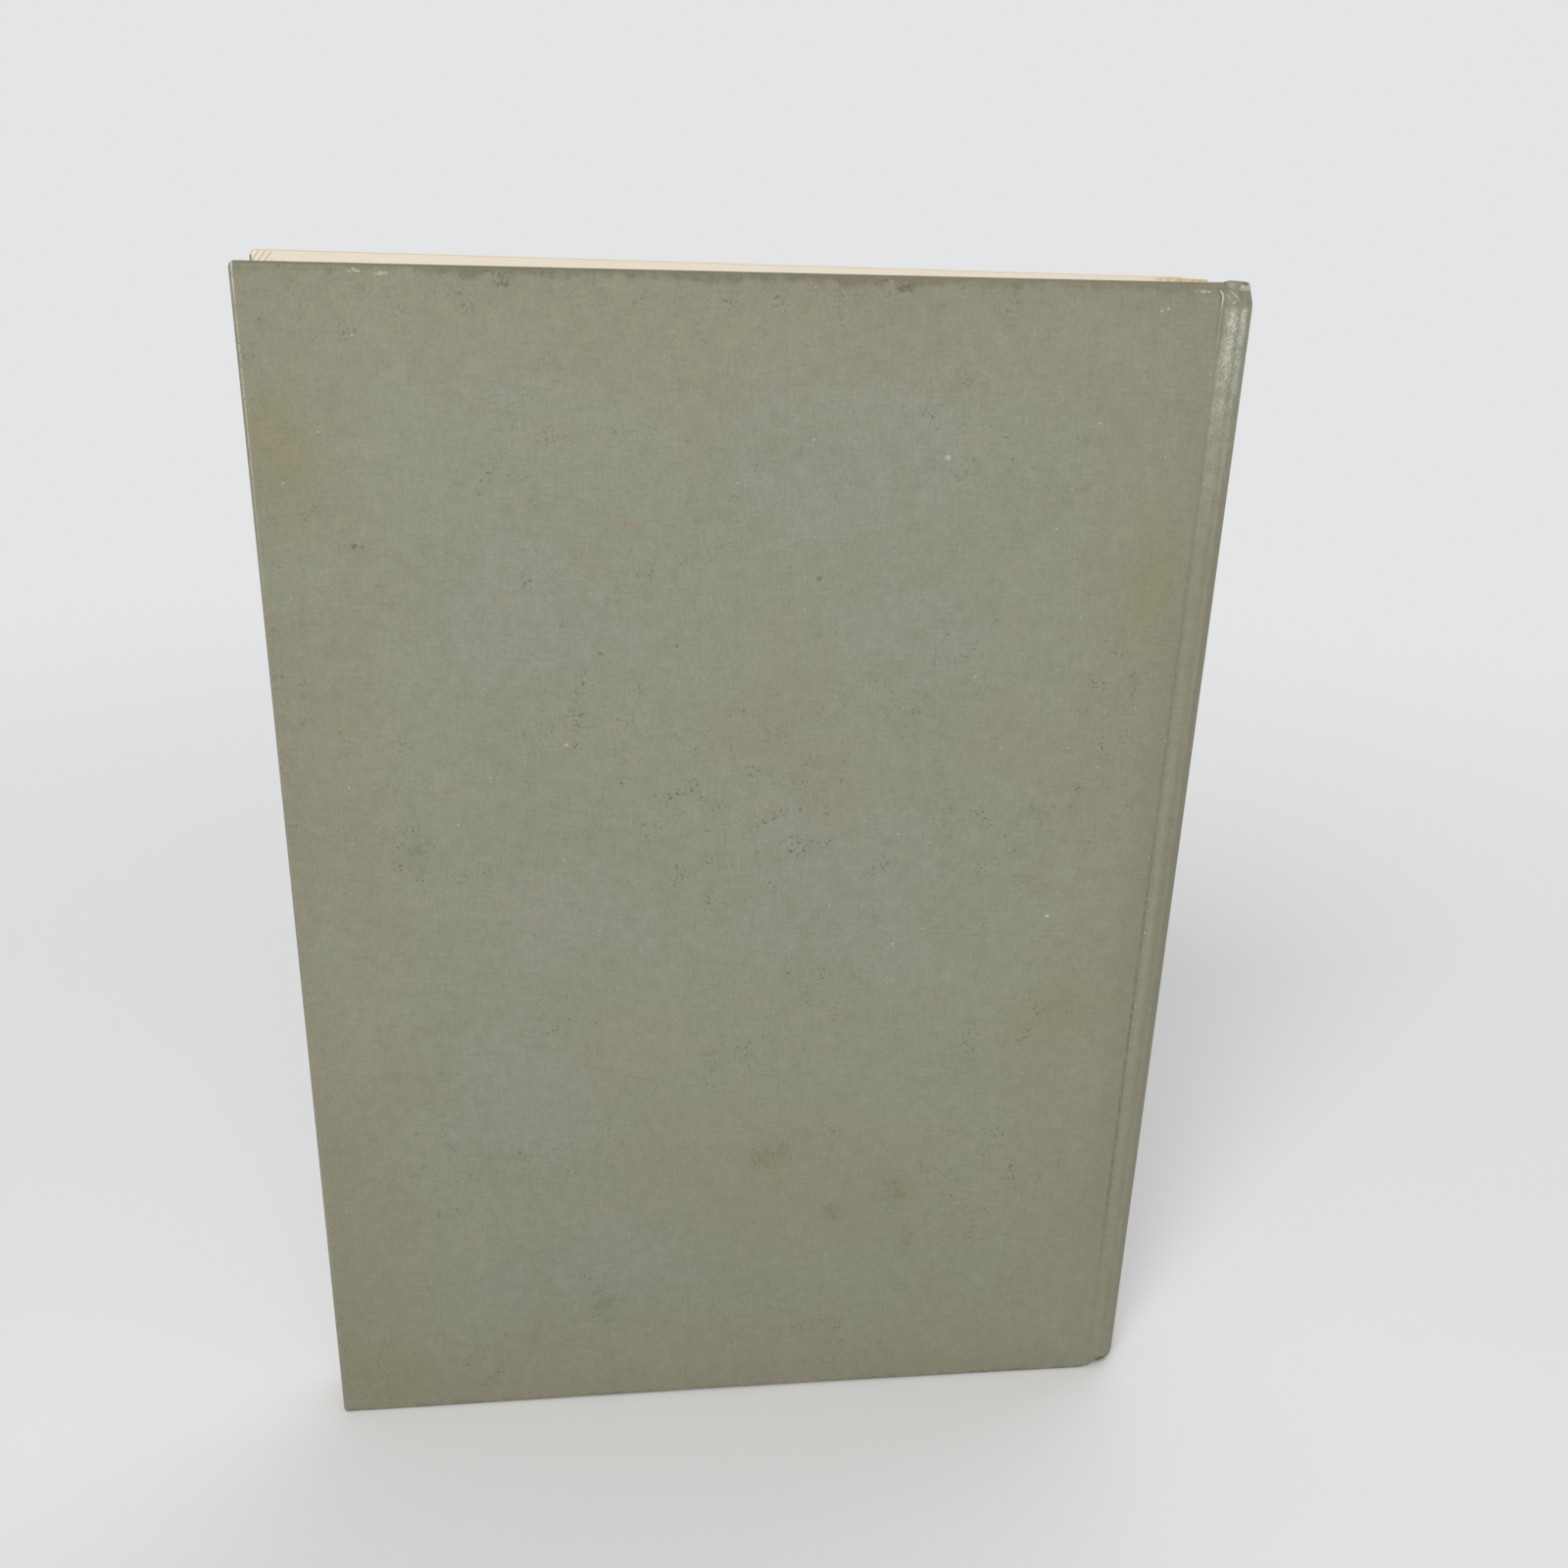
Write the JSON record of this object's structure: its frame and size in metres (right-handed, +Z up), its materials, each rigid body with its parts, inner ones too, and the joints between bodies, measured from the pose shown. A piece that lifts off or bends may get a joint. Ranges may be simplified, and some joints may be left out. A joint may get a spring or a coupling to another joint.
{
  "type": "hardback book",
  "caption": "Thin hardback book cased in plain cloth, with a rounded spine and joint grooves, hinged covers, turning leaves and a sewn block of pages.",
  "frame": {"origin": "centre of the case's outline on the floor, on the plane of the tail edges", "axes": "+Z up the book from tail to head, +X from the fore-edge to the spine, +Y from the back cover to the front cover"},
  "size_m": [0.19, 0.0154, 0.26],
  "materials": {
    "book_cloth": "fine woven book cloth, worn",
    "grey_board": "dense pulp board",
    "infill_card": "thin brown card",
    "gauze": "open cotton gauze",
    "endpaper": "toned cream paper",
    "page_paper": "matt uncoated paper",
    "lining_paper": "brown kraft paper",
    "linen_tape": "woven tape",
    "linen_thread": "waxed thread"
  },
  "bodies": {
    "text_block": {"spine_cloth": "book_cloth", "spine_inlay": "infill_card", "spine_lining": "lining_paper", "mull": "gauze", "sewing_tape_low": "linen_tape", "sewing_tape_middle": "linen_tape", "sewing_tape_high": "linen_tape", "sewing_thread": "linen_thread", "section_1_fold": "page_paper", "section_2_fold": "page_paper", "section_3_fold": "page_paper", "section_4_fold": "page_paper", "section_5_fold": "page_paper", "section_6_fold": "page_paper", "section_7_fold": "page_paper", "section_8_fold": "page_paper", "front_flyleaf_stub": "endpaper", "back_flyleaf_stub": "endpaper"},
    "front_cover": {"front_cloth": "book_cloth", "front_board": "grey_board", "front_infill": "infill_card", "front_mull_flange": "gauze", "front_pastedown": "endpaper"},
    "back_cover": {"back_cloth": "book_cloth", "back_board": "grey_board", "back_infill": "infill_card", "back_mull_flange": "gauze", "back_pastedown": "endpaper"},
    "front_flyleaf": {"front_flyleaf": "endpaper"},
    "front_leaf_1": {"front_leaf_1": "page_paper"},
    "front_leaf_2": {"front_leaf_2": "page_paper"},
    "front_leaf_3": {"front_leaf_3": "page_paper"},
    "section_1_leaves": {"section_1_leaves": "page_paper"},
    "section_2_leaves": {"section_2_leaves": "page_paper"},
    "section_3_leaves": {"section_3_leaves": "page_paper"},
    "section_4_leaves": {"section_4_leaves": "page_paper"},
    "back_flyleaf": {"back_flyleaf": "endpaper"},
    "back_leaf_1": {"back_leaf_1": "page_paper"},
    "back_leaf_2": {"back_leaf_2": "page_paper"},
    "back_leaf_3": {"back_leaf_3": "page_paper"},
    "section_8_leaves": {"section_8_leaves": "page_paper"},
    "section_7_leaves": {"section_7_leaves": "page_paper"},
    "section_6_leaves": {"section_6_leaves": "page_paper"},
    "section_5_leaves": {"section_5_leaves": "page_paper"}
  },
  "joints": [
    {"name": "front_cover_hinge", "type": "hinge", "parent": "text_block", "child": "front_cover", "pos_m": [0.0888, 0.00785, 0.13], "axis": [0, 0, -1], "range_deg": [0, 179]},
    {"name": "front_flyleaf_bend", "type": "hinge", "parent": "text_block", "child": "front_flyleaf", "pos_m": [0.08475, 0.00445, 0.13], "axis": [0, 0, -1], "range_deg": [0, 125.3]},
    {"name": "front_leaf_1_bend", "type": "hinge", "parent": "text_block", "child": "front_leaf_1", "pos_m": [0.083, 0.00424, 0.13], "axis": [0, 0, -1], "range_deg": [0, 112.77]},
    {"name": "front_leaf_2_bend", "type": "hinge", "parent": "text_block", "child": "front_leaf_2", "pos_m": [0.08125, 0.00404, 0.13], "axis": [0, 0, -1], "range_deg": [0, 100.24]},
    {"name": "front_leaf_3_bend", "type": "hinge", "parent": "text_block", "child": "front_leaf_3", "pos_m": [0.0795, 0.00384, 0.13], "axis": [0, 0, -1], "range_deg": [0, 89.5]},
    {"name": "section_1_leaves_bend", "type": "hinge", "parent": "text_block", "child": "section_1_leaves", "pos_m": [0.07775, 0.00367, 0.13], "axis": [0, 0, -1], "range_deg": [0, 75.18]},
    {"name": "section_2_leaves_bend", "type": "hinge", "parent": "text_block", "child": "section_2_leaves", "pos_m": [0.076, 0.00275, 0.13], "axis": [0, 0, -1], "range_deg": [0, 59.07]},
    {"name": "section_3_leaves_bend", "type": "hinge", "parent": "text_block", "child": "section_3_leaves", "pos_m": [0.07425, 0.00182, 0.13], "axis": [0, 0, -1], "range_deg": [0, 44.75]},
    {"name": "section_4_leaves_bend", "type": "hinge", "parent": "text_block", "child": "section_4_leaves", "pos_m": [0.0725, 0.00089, 0.13], "axis": [0, 0, -1], "range_deg": [0, 30.43]},
    {"name": "back_cover_hinge", "type": "hinge", "parent": "text_block", "child": "back_cover", "pos_m": [0.0888, -0.00785, 0.13], "axis": [0, 0, 1], "range_deg": [0, 179]},
    {"name": "back_flyleaf_bend", "type": "hinge", "parent": "text_block", "child": "back_flyleaf", "pos_m": [0.08475, -0.00445, 0.13], "axis": [0, 0, 1], "range_deg": [0, 125.3]},
    {"name": "back_leaf_1_bend", "type": "hinge", "parent": "text_block", "child": "back_leaf_1", "pos_m": [0.083, -0.00424, 0.13], "axis": [0, 0, 1], "range_deg": [0, 112.77]},
    {"name": "back_leaf_2_bend", "type": "hinge", "parent": "text_block", "child": "back_leaf_2", "pos_m": [0.08125, -0.00404, 0.13], "axis": [0, 0, 1], "range_deg": [0, 100.24]},
    {"name": "back_leaf_3_bend", "type": "hinge", "parent": "text_block", "child": "back_leaf_3", "pos_m": [0.0795, -0.00384, 0.13], "axis": [0, 0, 1], "range_deg": [0, 89.5]},
    {"name": "section_8_leaves_bend", "type": "hinge", "parent": "text_block", "child": "section_8_leaves", "pos_m": [0.07775, -0.00367, 0.13], "axis": [0, 0, 1], "range_deg": [0, 75.18]},
    {"name": "section_7_leaves_bend", "type": "hinge", "parent": "text_block", "child": "section_7_leaves", "pos_m": [0.076, -0.00275, 0.13], "axis": [0, 0, 1], "range_deg": [0, 59.07]},
    {"name": "section_6_leaves_bend", "type": "hinge", "parent": "text_block", "child": "section_6_leaves", "pos_m": [0.07425, -0.00182, 0.13], "axis": [0, 0, 1], "range_deg": [0, 44.75]},
    {"name": "section_5_leaves_bend", "type": "hinge", "parent": "text_block", "child": "section_5_leaves", "pos_m": [0.0725, -0.00089, 0.13], "axis": [0, 0, 1], "range_deg": [0, 30.43]}
  ],
  "couplings": [
    {"joint": "front_flyleaf_bend", "follows": "front_cover_hinge", "ratio": 0.7},
    {"joint": "front_leaf_1_bend", "follows": "front_cover_hinge", "ratio": 0.63},
    {"joint": "front_leaf_2_bend", "follows": "front_cover_hinge", "ratio": 0.56},
    {"joint": "front_leaf_3_bend", "follows": "front_cover_hinge", "ratio": 0.5},
    {"joint": "section_1_leaves_bend", "follows": "front_cover_hinge", "ratio": 0.42},
    {"joint": "section_2_leaves_bend", "follows": "front_cover_hinge", "ratio": 0.33},
    {"joint": "section_3_leaves_bend", "follows": "front_cover_hinge", "ratio": 0.25},
    {"joint": "section_4_leaves_bend", "follows": "front_cover_hinge", "ratio": 0.17},
    {"joint": "back_flyleaf_bend", "follows": "back_cover_hinge", "ratio": 0.7},
    {"joint": "back_leaf_1_bend", "follows": "back_cover_hinge", "ratio": 0.63},
    {"joint": "back_leaf_2_bend", "follows": "back_cover_hinge", "ratio": 0.56},
    {"joint": "back_leaf_3_bend", "follows": "back_cover_hinge", "ratio": 0.5},
    {"joint": "section_8_leaves_bend", "follows": "back_cover_hinge", "ratio": 0.42},
    {"joint": "section_7_leaves_bend", "follows": "back_cover_hinge", "ratio": 0.33},
    {"joint": "section_6_leaves_bend", "follows": "back_cover_hinge", "ratio": 0.25},
    {"joint": "section_5_leaves_bend", "follows": "back_cover_hinge", "ratio": 0.17}
  ]
}
